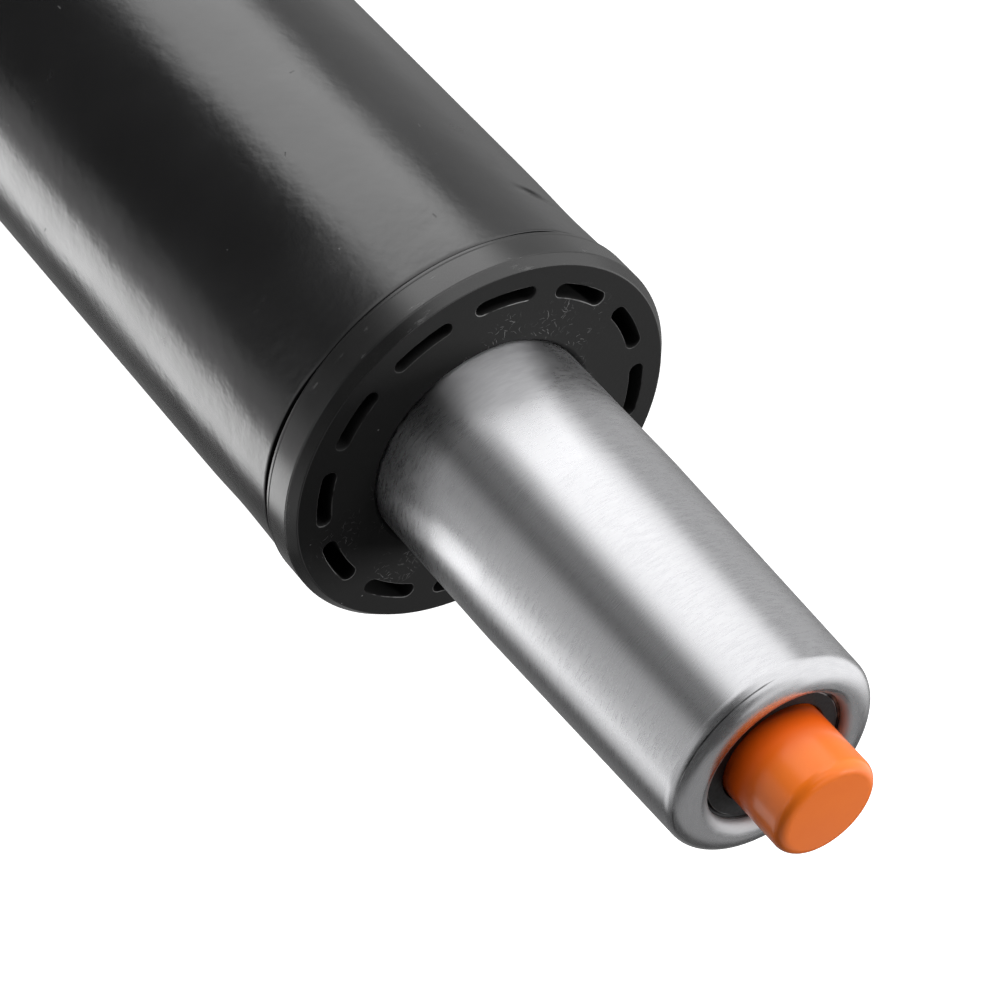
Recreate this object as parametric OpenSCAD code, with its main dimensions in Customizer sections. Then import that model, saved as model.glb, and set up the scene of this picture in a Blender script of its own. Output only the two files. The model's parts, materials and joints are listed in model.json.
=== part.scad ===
// Chair gas lift cylinder, shown fully down. Millimetres, +Z up towards the release button,
// origin at the centre of the stand tube's lower rim.

/* [Stand tube] */
// Outer diameter of the stand tube
stand_d = 50; // [49.5:0.1:50.5]
// Wall of the stand tube
stand_wall = 2; // [1.8:0.1:2.2]
// Length of the stand tube
stand_h = 220; // [212:1:250]
// Length of the lower taper, which sits in a chair base
lower_taper_h = 75; // [55:1:85]
// Half angle of the two tapers, in degrees
taper_angle = 1.438; // [1.4:0.002:1.48]
// Depth of the two dimples that stake the bush in the tube
stake_depth = 0.55; // [0.3:0.05:0.8]
// Distance of the dimples below the tube's upper end
stake_drop = 9; // [8:0.5:14]

/* [Guide bush] */
// Diameter of the bush's flange
flange_d = 50.8; // [50.6:0.1:52]
// Thickness of the flange
flange_t = 5.2; // [4.5:0.1:6]
// Length of the bush's sleeve inside the stand tube
bush_h = 90; // [80:1:95]
// Number of slots in the flange
slot_count = 12; // [8:1:14]
// Diameter of the circle through the slots
slot_circle_d = 42; // [41.6:0.1:42.2]
// Width of a slot
slot_w = 1.9; // [1.4:0.1:2]
// Angle that a slot spans, in degrees
slot_span = 21.6; // [12:0.1:22]

/* [Pressure tube] */
// Outer diameter of the pressure tube
tube_d = 28; // [27.98:0.01:28.02]
// Wall of the pressure tube
tube_wall = 2; // [1.9:0.05:2.1]
// Straight length of the tube that shows above the flange when down
tube_straight_h = 19.4; // [15:0.1:25]
// Length of the upper taper, which sits in a seat plate
upper_taper_h = 33.4; // [30:0.1:36]
// Radius of the rolled end
roll_r = 2.6; // [2.2:0.1:3]
// Diameter of the opening in the rolled end
mouth_d = 17.6; // [17.2:0.1:18]

/* [Rod and bearing] */
// Diameter of the piston rod
rod_d = 10; // [9.9:0.05:10.1]
// Diameter of the rod's lower tip
tip_d = 8; // [7.8:0.1:8.2]
// Number of bearing balls
ball_count = 10; // [6:1:11]
// Diameter of a bearing ball
ball_d = 4; // [3.6:0.1:4.2]
// Diameter of the circle through the balls
ball_circle_d = 19; // [18.5:0.1:20]

/* [Motion] */
// Travel of the cylinder
stroke = 100; // [80:1:105]
// Travel of the button
button_travel = 4; // [2:0.5:4]
// Diameter of the button
button_d = 12.8; // [12.4:0.1:13]
// Height of the button above the rolled end
button_proud = 8.1; // [6:0.1:9]
// Sideways play that the loose button has taken up, towards -X
button_play = 0.4; // [0:0.1:0.4]

/* [Hidden] */
$fn = 96;

// Gaps: between bodies, in a running fit, and between pieces of one body
gap = 0.3;
run_gap = 0.05;
seat_gap = 0.02;
// Overshoot of a cutting shape
over = 1;

// Colours
paint_black = "#232325";
plastic_black = "#1c1c1d";
steel_satin = "#b9bbbd";
steel_dark = "#7d8084";
chrome_bright = "#d5d8da";
rubber_black = "#161616";
brass_yellow = "#c8a24c";
cage_white = "#d9d6c8";
button_orange = "#e9691e";

// Stand tube and base plate
stand_r = stand_d / 2;
taper_k = tan(taper_angle);
foot_r = stand_r - lower_taper_h * taper_k;
foot_wall = stand_wall - 0.1;
seat_r = foot_r - foot_wall;
foot_edge = 0.8;
stand_edge = 0.4;
stake_ball_r = 30;
stake_angles = [-168, 4];
plate_z = 8;
plate_t = 4;
plate_top = plate_z + plate_t;

// Guide bush
flange_r = flange_d / 2;
flange_top = stand_h + flange_t;
flange_chamfer_w = 0.9;
flange_chamfer_h = 1.1;
flange_edge = 0.3;
bush_z = stand_h - bush_h;
bush_lead = 0.5;
bush_core_r = [16.4, 18.8];
bush_core_top = stand_h - 8;
slot_r = slot_circle_d / 2;
slot_phase = 23.67;
slot_floor = bush_z + 10;
slot_half = slot_span / 2 - asin(slot_w / 2 / slot_r);

// Thrust bearing
rod_r = rod_d / 2;
tip_r = tip_d / 2;
ball_r = ball_d / 2;
ball_ring_r = ball_circle_d / 2;
race_t = 3.2;
race_gap = 2;
race_r = 14;
ball_z = plate_top + race_t + race_gap / 2;
upper_race_z = plate_top + race_t + race_gap;
shoulder_z = upper_race_z + race_t;
cage_t = race_gap - 2 * gap;
cage_r = [6.6, 12.6];
pocket_gap = 0.12;

// Rod tip, clip and bumper
tip_z = 2.5;
tip_edge = 0.6;
washer_t = 1.5;
washer_r = 10;
washer_z = plate_z - gap - washer_t;
clip_t = 1.1;
clip_z = washer_z - clip_t;
clip_r = 6.4;
clip_mouth = 5.4;
groove_r = 3.2;
bumper_r = 10.5;
bumper_edge = 1.2;

// Pressure tube and what closes its lower end
tube_r = tube_d / 2;
bore_r = tube_r - tube_wall;
tube_z = 36;
tube_edge = 1;
crimp_t = 1.6;
crimp_r = 8;
guide_z = tube_z + crimp_t;
guide_h = 12;
seal_z = guide_z + guide_h;
seal_h = 7;
seal_washer_z = seal_z + seal_h;
seal_washer_t = 2;
inner_z = seal_washer_z + seal_washer_t;
fill_r = bore_r - seat_gap;

// Upper taper and rolled end
taper_z = flange_top + tube_straight_h;
taper_top = taper_z + upper_taper_h;
taper_top_r = tube_r - upper_taper_h * taper_k;
rim_z = taper_top + roll_r;
lip_t = 1.5;
mouth_r = mouth_d / 2;
mouth_round = 0.9;

// Inner tube and valve
inner_r = [9.5, 10.5];
notch_w = 3;
notch_h = 2.5;
notch_count = 4;
cap_top = rim_z - lip_t;
cap_t = 9.1;
cap_hole_r = 7;
cap_step_r = 8.5;
cap_step_h = 0.2;
cap_z = cap_top - cap_t;
valve_z = taper_z + 1.4;
spigot_h = 8;
spigot_z = valve_z - spigot_h;
spigot_r = inner_r[0] - seat_gap;
channel_r = 10.6;
channel_h = 3;
port_r = 1;
port_count = 2;
button_well_r = 7.2;
button_well_z = cap_z - 8;
pin_r = 3;
pin_bore_r = pin_r + run_gap;
pin_waist_r = 2;
pin_waist_z = [spigot_z + 5, valve_z + 5];
poppet_r = 5;
poppet_h = 4.7;
poppet_z = spigot_z - gap - poppet_h;

// O-rings: groove centre heights, groove radii, cord radius and ring radius
oring_z = valve_z + 10.5;
oring_groove_r = 10.2;
oring_groove_h = 2.6;
oring_cord_r = 0.86;
oring_r = 11.08;
pin_oring_z = [spigot_z + 3, valve_z + 9];
pin_groove_r = 5;
pin_groove_h = 2.2;
pin_cord_r = 0.9;
pin_oring_r = 4.05;

// Rod's upper end, piston and nut
rebound_z = inner_z + stroke + 0.4;
rebound_h = 6;
rebound_r = 8.2;
piston_z = rebound_z + rebound_h;
piston_h = 16;
piston_r = inner_r[0] - run_gap;
piston_groove_r = 7.4;
piston_groove_h = 4;
piston_groove_z = piston_z + 6;
spigot_thread_r = 3.5;
nut_z = piston_z + piston_h;
nut_h = 7;
nut_flats = 12;
rod_top = nut_z + nut_h + 2;

// Button
button_r = button_d / 2;
button_top = rim_z + button_proud;
button_z = button_well_z + button_travel + 1;
button_round = 1.4;
button_wall_top = 5.6;
button_bore_r = pin_r + 0.6;
pin_top = button_top - button_wall_top;

// Plain ring from z up by h
module ring(r_in, r_out, z, h) {
    translate([0, 0, z])
        difference() {
            cylinder(h = h, r = r_out);
            translate([0, 0, -over]) cylinder(h = h + 2 * over, r = r_in);
        }
}

// Round cord bent to a ring
module oring(r, cord_r, z) {
    translate([0, 0, z]) rotate_extrude() translate([r, 0]) circle(cord_r);
}

// Bearing race with a groove for the balls
module race(r_in, z) {
    difference() {
        ring(r_in, race_r, z, race_t);
        oring(ball_ring_r, ball_r + run_gap, ball_z);
    }
}

// Outline of one slot, centred on the X axis
module slot_outline() {
    reach = slot_r + slot_w;
    intersection() {
        difference() {
            circle(slot_r + slot_w / 2);
            circle(slot_r - slot_w / 2);
        }
        polygon([[0, 0], reach * [cos(slot_half), -sin(slot_half)], reach * [1, 0] * 1.1,
                 reach * [cos(slot_half), sin(slot_half)]]);
    }
    for (side = [-1, 1]) rotate(side * slot_half) translate([slot_r, 0]) circle(slot_w / 2);
}

module stand_tube() {
    wall_r = stand_r - stand_wall;
    color(paint_black) difference() {
        rotate_extrude() polygon([
            [seat_r, 0], [foot_r - foot_edge, 0], [foot_r, foot_edge], [stand_r, lower_taper_h],
            [stand_r, stand_h - stand_edge], [stand_r - stand_edge, stand_h],
            [wall_r, stand_h], [wall_r, lower_taper_h],
            [wall_r - (lower_taper_h - plate_top) * taper_k, plate_top], [seat_r, plate_top]
        ]);
        for (a = stake_angles)
            rotate(a)
                translate([stand_r + stake_ball_r - stake_depth, 0, stand_h - stake_drop])
                    sphere(stake_ball_r);
    }
}

module guide_bush() {
    slide_r = tube_r + run_gap;
    sleeve_r = stand_r - stand_wall - seat_gap;
    color(plastic_black) difference() {
        rotate_extrude() polygon([
            [slide_r, bush_z], [sleeve_r, bush_z], [sleeve_r, stand_h],
            [flange_r - flange_edge, stand_h], [flange_r, stand_h + flange_edge],
            [flange_r, flange_top - flange_chamfer_h], [flange_r - flange_chamfer_w, flange_top],
            [slide_r + bush_lead, flange_top], [slide_r, flange_top - bush_lead]
        ]);
        ring(bush_core_r[0], bush_core_r[1], bush_z - over, bush_core_top - bush_z + over);
        for (i = [0 : slot_count - 1])
            rotate(slot_phase + i * 360 / slot_count)
                translate([0, 0, slot_floor])
                    linear_extrude(flange_top - slot_floor + over) slot_outline();
    }
}

module base_plate() {
    color(steel_dark) ring(tip_r + run_gap, seat_r, plate_z, plate_t);
}

module lower_race() {
    color(chrome_bright) race(tip_r + 0.6, plate_top);
}

module upper_race() {
    color(chrome_bright) race(tip_r + seat_gap, upper_race_z);
}

module ball_cage() {
    color(cage_white) difference() {
        ring(cage_r[0], cage_r[1], ball_z - cage_t / 2, cage_t);
        for (i = [0 : ball_count - 1])
            rotate(i * 360 / ball_count)
                translate([ball_ring_r, 0, ball_z - cage_t])
                    cylinder(h = 2 * cage_t, r = ball_r + pocket_gap);
    }
}

module bearing_balls() {
    color(chrome_bright)
        for (i = [0 : ball_count - 1])
            rotate(i * 360 / ball_count) translate([ball_ring_r, 0, ball_z]) sphere(ball_r);
}

module piston_rod() {
    color(chrome_bright) rotate_extrude() polygon([
        [0, tip_z], [tip_r - tip_edge, tip_z], [tip_r, tip_z + tip_edge],
        [tip_r, clip_z], [groove_r, clip_z], [groove_r, clip_z + clip_t], [tip_r, clip_z + clip_t],
        [tip_r, shoulder_z], [rod_r, shoulder_z], [rod_r, piston_z],
        [spigot_thread_r, piston_z], [spigot_thread_r, rod_top - tip_edge],
        [spigot_thread_r - tip_edge, rod_top], [0, rod_top]
    ]);
}

module bumper() {
    top = tube_z - gap;
    color(rubber_black) rotate_extrude() polygon([
        [rod_r + seat_gap, shoulder_z], [bumper_r, shoulder_z], [bumper_r, top - bumper_edge],
        [bumper_r - bumper_edge, top], [rod_r + seat_gap, top]
    ]);
}

module clip_washer() {
    color(steel_dark) ring(tip_r + seat_gap, washer_r, washer_z, washer_t);
}

module retaining_clip() {
    color(steel_dark) difference() {
        ring(groove_r, clip_r, clip_z, clip_t);
        translate([0, -clip_mouth / 2, clip_z - over])
            cube([clip_r + over, clip_mouth, clip_t + 2 * over]);
    }
}

module rebound_ring() {
    color(rubber_black) ring(rod_r + seat_gap, rebound_r, rebound_z, rebound_h);
}

module piston() {
    color(brass_yellow) difference() {
        ring(spigot_thread_r + seat_gap, piston_r, piston_z, piston_h);
        ring(piston_groove_r, piston_r + over, piston_groove_z, piston_groove_h);
    }
}

module piston_seal() {
    color(rubber_black)
        ring(piston_groove_r + seat_gap, piston_r, piston_groove_z + seat_gap,
             piston_groove_h - 2 * seat_gap);
}

module rod_nut() {
    color(steel_dark) translate([0, 0, nut_z])
        difference() {
            cylinder(h = nut_h, r = nut_flats / 2 / cos(30), $fn = 6);
            translate([0, 0, -over]) cylinder(h = nut_h + 2 * over, r = spigot_thread_r + seat_gap);
        }
}

// Half section of the pressure tube, with its crimped lower end and its rolled upper end
module pressure_tube_section() {
    roll_x = taper_top_r - roll_r;
    difference() {
        union() {
            polygon([
                [0, tube_z], [tube_r - tube_edge, tube_z], [tube_r, tube_z + tube_edge],
                [tube_r, taper_z], [taper_top_r, taper_top], [0, taper_top]
            ]);
            translate([0, taper_top - over]) square([roll_x, roll_r + over]);
            translate([roll_x, taper_top]) circle(roll_r);
        }
        translate([0, tube_z - over]) square([crimp_r, crimp_t + 2 * over]);
        translate([0, guide_z]) square([bore_r, cap_top - guide_z]);
        translate([0, cap_top - over]) square([mouth_r, lip_t + 2 * over]);
        translate([mouth_r - over, rim_z - mouth_round])
            difference() {
                square([mouth_round + over, mouth_round + over]);
                translate([mouth_round + over, 0]) circle(mouth_round);
            }
    }
}

module pressure_tube() {
    color(steel_satin) rotate_extrude() pressure_tube_section();
}

module inner_tube() {
    color(steel_satin) difference() {
        ring(inner_r[0], inner_r[1], inner_z, valve_z - inner_z);
        for (i = [0 : notch_count - 1])
            rotate(i * 360 / notch_count)
                translate([0, -notch_w / 2, inner_z - over])
                    cube([inner_r[1] + over, notch_w, notch_h + over]);
    }
}

module rod_guide() {
    color(steel_dark) ring(rod_r + run_gap, fill_r, guide_z, guide_h);
}

module rod_seal() {
    color(rubber_black) ring(rod_r + run_gap, fill_r, seal_z, seal_h);
}

module seal_washer() {
    color(steel_dark) ring(rod_r + gap, fill_r, seal_washer_z, seal_washer_t);
}

module valve_body() {
    port_z = valve_z + channel_h / 2;
    color(brass_yellow) difference() {
        rotate_extrude() polygon([
            [pin_bore_r, spigot_z], [spigot_r, spigot_z], [spigot_r, valve_z],
            [channel_r, valve_z], [channel_r, valve_z + channel_h], [fill_r, valve_z + channel_h],
            [fill_r, cap_z], [button_well_r, cap_z], [button_well_r, button_well_z],
            [pin_bore_r, button_well_z]
        ]);
        ring(oring_groove_r, fill_r + over, oring_z - oring_groove_h / 2, oring_groove_h);
        for (z = pin_oring_z)
            translate([0, 0, z - pin_groove_h / 2]) cylinder(h = pin_groove_h, r = pin_groove_r);
        for (i = [0 : port_count - 1])
            rotate(i * 360 / port_count)
                translate([0, 0, port_z]) rotate([0, 90, 0]) cylinder(h = fill_r, r = port_r);
    }
}

module valve_oring() {
    color(rubber_black) oring(oring_r, oring_cord_r, oring_z);
}

module pin_orings() {
    color(rubber_black) for (z = pin_oring_z) oring(pin_oring_r, pin_cord_r, z);
}

module valve_cap() {
    color(plastic_black) rotate_extrude() polygon([
        [cap_hole_r, cap_z], [fill_r, cap_z], [fill_r, cap_top], [cap_step_r, cap_top],
        [cap_step_r, cap_top + cap_step_h], [cap_hole_r, cap_top + cap_step_h]
    ]);
}

module valve_pin() {
    color(chrome_bright) rotate_extrude() polygon([
        [0, poppet_z], [poppet_r, poppet_z], [poppet_r, poppet_z + poppet_h],
        [pin_r, poppet_z + poppet_h], [pin_r, pin_waist_z[0]], [pin_waist_r, pin_waist_z[0]],
        [pin_waist_r, pin_waist_z[1]], [pin_r, pin_waist_z[1]], [pin_r, pin_top], [0, pin_top]
    ]);
}

// Half section of the button, with its rounded end and the blind hole for the pin
module button_section() {
    difference() {
        union() {
            translate([0, button_z]) square([button_r, button_top - button_round - button_z]);
            translate([0, button_top - button_round - over])
                square([button_r - button_round, button_round + over]);
            translate([button_r - button_round, button_top - button_round]) circle(button_round);
        }
        translate([0, button_z - over]) square([button_bore_r, pin_top - button_z + over]);
    }
}

module button_cap() {
    color(button_orange) translate([-button_play, 0, 0]) rotate_extrude() button_section();
}

stand_tube();
guide_bush();
base_plate();
lower_race();
ball_cage();
bearing_balls();
piston_rod();
upper_race();
bumper();
clip_washer();
retaining_clip();
rebound_ring();
piston();
piston_seal();
rod_nut();
pressure_tube();
inner_tube();
rod_guide();
rod_seal();
seal_washer();
valve_body();
valve_oring();
pin_orings();
valve_cap();
valve_pin();
button_cap();
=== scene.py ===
"""Looks of a chair gas lift cylinder: painted stand tube, moulded bush, steel tube and orange button."""

import json
import math

import bmesh
import bpy
import numpy as np
from mathutils import Matrix, Vector


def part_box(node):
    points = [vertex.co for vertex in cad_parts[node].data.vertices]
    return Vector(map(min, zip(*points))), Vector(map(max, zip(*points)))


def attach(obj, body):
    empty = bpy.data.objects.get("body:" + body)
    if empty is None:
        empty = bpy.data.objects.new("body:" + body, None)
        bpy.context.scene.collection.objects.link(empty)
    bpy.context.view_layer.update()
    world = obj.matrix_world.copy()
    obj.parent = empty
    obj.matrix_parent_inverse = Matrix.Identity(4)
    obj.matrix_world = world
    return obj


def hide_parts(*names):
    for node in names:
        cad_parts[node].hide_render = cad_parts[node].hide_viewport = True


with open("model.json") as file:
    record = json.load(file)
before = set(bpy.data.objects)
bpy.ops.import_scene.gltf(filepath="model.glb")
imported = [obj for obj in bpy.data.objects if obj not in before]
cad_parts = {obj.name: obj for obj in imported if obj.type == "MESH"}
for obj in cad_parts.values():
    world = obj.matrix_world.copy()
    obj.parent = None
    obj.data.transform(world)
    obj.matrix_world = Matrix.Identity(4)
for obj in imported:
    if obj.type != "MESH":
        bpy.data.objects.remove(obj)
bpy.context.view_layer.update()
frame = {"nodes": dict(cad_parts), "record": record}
scene = bpy.context.scene
scene.view_settings.view_transform = "Standard"

# Lengths below are in millimetres and angles in degrees, unless a comment says otherwise
MM = 0.001
MERGE = 0.0005
ON_AXIS = 1e-6
SECTORS = 12
SECTOR_STEPS = 28
AROUND = SECTORS * SECTOR_STEPS


def size_of(node):
    """Lowest and highest corner of a CAD node, in millimetres."""
    low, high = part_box(node)
    return low / MM, high / MM


tube_high = size_of("stand_tube")[1]
bush_low, bush_high = size_of("guide_bush")
steel_low, steel_high = size_of("pressure_tube")
cap_low, cap_high = size_of("valve_cap")
button_low, button_high = size_of("button_cap")
pin_high = size_of("valve_pin")[1]
plate_high = size_of("base_plate")[1]

FLANGE_TOP = bush_high.z
STAND_TOP = tube_high.z
STAND_R = tube_high.x
BUTTON_X = (button_low.x + button_high.x) / 2
BUTTON_R = (button_high.x - button_low.x) / 2
STEEL_R = steel_high.x
MOUTH_R = 8.8


# Outlines

def outline(corners, arc_steps=6):
    """Points of a path of (radius, height) corners; a third number rounds that corner with an arc."""
    points = []
    for i, corner in enumerate(corners):
        here = np.array(corner[:2], float)
        round_r = corner[2] if len(corner) > 2 else 0
        if not round_r:
            points.append(tuple(here))
            continue
        before = np.array(corners[i - 1][:2], float) - here
        after = np.array(corners[(i + 1) % len(corners)][:2], float) - here
        before /= np.linalg.norm(before)
        after /= np.linalg.norm(after)
        half = math.acos(np.clip(before @ after, -1, 1)) / 2
        reach = round_r / math.tan(half)
        centre = here + (before + after) / np.linalg.norm(before + after) * round_r / math.sin(half)
        start = here + before * reach - centre
        end = here + after * reach - centre
        turn = math.atan2(start[0] * end[1] - start[1] * end[0], start @ end)
        for k in range(arc_steps + 1):
            a = turn * k / arc_steps
            c, s = math.cos(a), math.sin(a)
            points.append((centre[0] + c * start[0] - s * start[1], centre[1] + s * start[0] + c * start[1]))
    return points


def with_rows(points, low, high, step):
    """The same path with its upright stretches between two heights cut into short rows."""
    cut = []
    for (r0, z0), (r1, z1) in zip(points, points[1:] + points[:1]):
        cut.append((r0, z0))
        bottom = max(min(z0, z1), low)
        top = min(max(z0, z1), high)
        rows = int((top - bottom) / step)
        on_axis = r0 == r1 == 0
        if rows < 2 or on_axis or abs(z1 - z0) < abs(r1 - r0):
            continue
        heights = np.linspace(bottom, top, rows + 1)
        for z in heights if z1 > z0 else heights[::-1]:
            share = (z - z0) / (z1 - z0)
            if 0 < share < 1:
                cut.append((r0 + share * (r1 - r0), z))
    return cut


# Meshes

def lathe_into(bm, points, closed=True, shape=None, start=0.0, centre=(0.0, 0.0)):
    """Turns a path about an upright axis; shape(r, z, angles) may dent each ring."""
    angles = math.radians(start) + np.arange(AROUND) * 2 * math.pi / AROUND
    rings = []
    for r, z in points:
        if r < ON_AXIS:
            rings.append([bm.verts.new((centre[0] * MM, centre[1] * MM, z * MM))])
            continue
        rs, zs = (np.full(AROUND, r), np.full(AROUND, z)) if shape is None else shape(r, z, angles)
        xs = (centre[0] + rs * np.cos(angles)) * MM
        ys = (centre[1] + rs * np.sin(angles)) * MM
        rings.append([bm.verts.new(p) for p in zip(xs, ys, zs * MM)])
    pairs = list(zip(rings, rings[1:]))
    if closed:
        pairs.append((rings[-1], rings[0]))
    for low, high in pairs:
        for i in range(AROUND):
            j = (i + 1) % AROUND
            if len(low) == 1:
                bm.faces.new((low[0], high[j], high[i]))
            elif len(high) == 1:
                bm.faces.new((low[i], low[j], high[0]))
            else:
                bm.faces.new((low[i], low[j], high[j], high[i]))


def piece(bm, name, body, node, slot, *finishes):
    """Makes a smooth mesh object that stands for a CAD node and rides on its body."""
    bmesh.ops.remove_doubles(bm, verts=bm.verts, dist=MERGE * MM)
    mesh = bpy.data.meshes.new(name)
    bm.to_mesh(mesh)
    bm.free()
    mesh.shade_smooth()
    made = bpy.data.objects.new(name, mesh)
    scene.collection.objects.link(made)
    made.modifiers.new("flat_faces", "WEIGHTED_NORMAL").keep_sharp = True
    for look in finishes:
        mesh.materials.append(look)
    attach(made, body)
    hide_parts(node)


# Materials

# Share of its size within which a speck, a scratch's end, its side and a rubbed place are whole
SPECK_CORE = 0.5
END_CORE = 0.6
SIDE_CORE = 0.4
PATCH_CORE = 0.35


class Look:
    """A procedural material: a Principled shader and the nodes that feed it."""

    def __init__(self, name, **sockets):
        self.material = bpy.data.materials.new(name)
        self.material.use_nodes = True
        self.nodes = self.material.node_tree.nodes
        self.links = self.material.node_tree.links
        self.shader = self.nodes["Principled BSDF"]
        for key, value in sockets.items():
            self.feed(key, value)

    def feed(self, key, value):
        """Sets or links a socket of the shader; the key is its name in lower case with underscores."""
        names = {s.name.lower().replace(" ", "_"): s for s in self.shader.inputs}
        self.plug(names[key], value)

    def plug(self, socket, value):
        """Links a socket to another one, or sets its value."""
        if isinstance(value, bpy.types.NodeSocket):
            self.links.new(value, socket)
        else:
            socket.default_value = value

    def node(self, kind, inputs=(), **settings):
        """Adds a node with its settings, and sets or links its inputs."""
        made = self.nodes.new(kind)
        for key, value in settings.items():
            setattr(made, key, value)
        for key, value in dict(inputs).items():
            self.plug(made.inputs[key], value)
        return made

    def place(self):
        """Position in the object's own frame, in metres."""
        return self.node("ShaderNodeTexCoord").outputs["Object"]

    def parts(self):
        """Radius from the axis, angle round it and height, in metres and radians."""
        xyz = self.node("ShaderNodeSeparateXYZ", {"Vector": self.place()}).outputs
        square = self.math("ADD", self.math("POWER", xyz["X"], 2.0), self.math("POWER", xyz["Y"], 2.0))
        return self.math("SQRT", square), self.math("ARCTAN2", xyz["Y"], xyz["X"]), xyz["Z"]

    def polar(self, around, along):
        """Position wound off the axis, with its own scale round and along it."""
        radius, angle, height = self.parts()
        turned = self.math("MULTIPLY", angle, around)
        raised = self.math("MULTIPLY", height, along)
        return self.node("ShaderNodeCombineXYZ", {"X": turned, "Y": radius, "Z": raised}).outputs["Vector"]

    def math(self, operation, *values):
        """Arithmetic on single values."""
        return self.node("ShaderNodeMath", enumerate(values), operation=operation).outputs["Value"]

    def shift(self, operation, *values):
        """Vector arithmetic, with a vector as its result."""
        return self.node("ShaderNodeVectorMath", enumerate(values), operation=operation).outputs["Vector"]

    def noise(self, vector, scale, detail=2.0, roughness=0.5):
        """Cloudy noise between nothing and one."""
        inputs = {"Vector": vector, "Scale": scale, "Detail": detail, "Roughness": roughness}
        return self.node("ShaderNodeTexNoise", inputs).outputs["Fac"]

    def fade(self, value, low, high, to_low=0.0, to_high=1.0):
        """Smooth step of a value between two limits."""
        inputs = {"Value": value, "From Min": low, "From Max": high, "To Min": to_low, "To Max": to_high}
        return self.node("ShaderNodeMapRange", inputs, interpolation_type="SMOOTHSTEP").outputs["Result"]

    def specks(self, vector, scale, radius, share):
        """Round specks, one in a share of the cells of a loose grid; the radius is in cells."""
        cells = self.node("ShaderNodeTexVoronoi", {"Vector": vector, "Scale": scale}).outputs
        draw = self.node("ShaderNodeSeparateColor", {0: cells["Color"]}).outputs[0]
        chosen = self.math("LESS_THAN", draw, share)
        return self.math("MULTIPLY", chosen, self.fade(cells["Distance"], radius, radius * SPECK_CORE))

    def scratches(self, vector, scale, length, width, share):
        """Short straight scratches that lie every way, one in a share of the cells; sizes are in cells."""
        inputs = {"Vector": vector, "Scale": scale}
        cells = self.node("ShaderNodeTexVoronoi", inputs, voronoi_dimensions="2D").outputs
        draws = self.node("ShaderNodeSeparateColor", {0: cells["Color"]}).outputs
        offset = self.shift("SUBTRACT", vector, cells["Position"])
        turn = self.math("MULTIPLY", draws[1], 2 * math.pi)
        chosen = self.math("LESS_THAN", draws[0], share)
        ends = (length / scale, length * END_CORE / scale)
        sides = (width / scale, width * SIDE_CORE / scale)
        return self.math("MULTIPLY", chosen, self.stroke(offset, turn, ends, sides))

    def stroke(self, offset, turn, ends, sides):
        """One on a stroke through a flat vector's origin; ends and sides fade between two distances."""
        inputs = {"Vector": offset, "Angle": turn}
        spun = self.node("ShaderNodeVectorRotate", inputs, rotation_type="Z_AXIS").outputs[0]
        xyz = self.node("ShaderNodeSeparateXYZ", {"Vector": spun}).outputs
        along = self.fade(self.math("ABSOLUTE", xyz["X"]), *ends)
        across = self.fade(self.math("ABSOLUTE", xyz["Y"]), *sides)
        return self.math("MULTIPLY", along, across)

    def near(self, azimuth, radius, reach):
        """One at a place of the flange face, given by azimuth and radius, and nothing beyond its reach."""
        a = math.radians(azimuth)
        centre = (radius * MM * math.cos(a), radius * MM * math.sin(a), FLANGE_TOP * MM)
        inputs = {0: self.place(), 1: centre}
        away = self.node("ShaderNodeVectorMath", inputs, operation="DISTANCE").outputs["Value"]
        return self.fade(away, reach * MM, reach * PATCH_CORE * MM)

    def mix(self, factor, low, high):
        """Colour between two, by a factor."""
        made = self.node("ShaderNodeMix", {0: factor}, data_type="RGBA")
        self.plug(made.inputs[6], low)
        self.plug(made.inputs[7], high)
        return made.outputs[2]

    def worn_and_lit(self, patches):
        """Pale marks on the mesh's edges, partly rubbing and partly painted highlight, broken up by a
        pattern.
        """
        marked = self.node("ShaderNodeAttribute", attribute_name="wear_and_highlight").outputs["Fac"]
        return self.math("MULTIPLY", marked, patches)

    def bump(self, height, depth):
        """Relief of a height field; the depth is in millimetres."""
        inputs = {"Height": height, "Distance": depth * MM}
        self.feed("normal", self.node("ShaderNodeBump", inputs).outputs["Normal"])


def grey(value, tint=1.0):
    """A grey, with its blue raised by the tint."""
    return (value, value, value * tint, 1.0)


# Gloss of the paint, and its loss along the crease at one dimple, a painted shade that darkens the crease's
# reflection
PAINT_GLOSS = 0.75
CREASE_SHADE_LOSS = 0.7
# The crease's azimuth, depth under the tube's top, slope, and the fades of its ends and sides in metres
CREASE_SHADE_AZIMUTH = -157.7
CREASE_SHADE_UNDER = 9.4
CREASE_SHADE_SLOPE = 12.0
CREASE_SHADE_ENDS = (3.2 * MM, 0.4 * MM)
CREASE_SHADE_SIDES = (0.95 * MM, 0.05 * MM)


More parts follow.
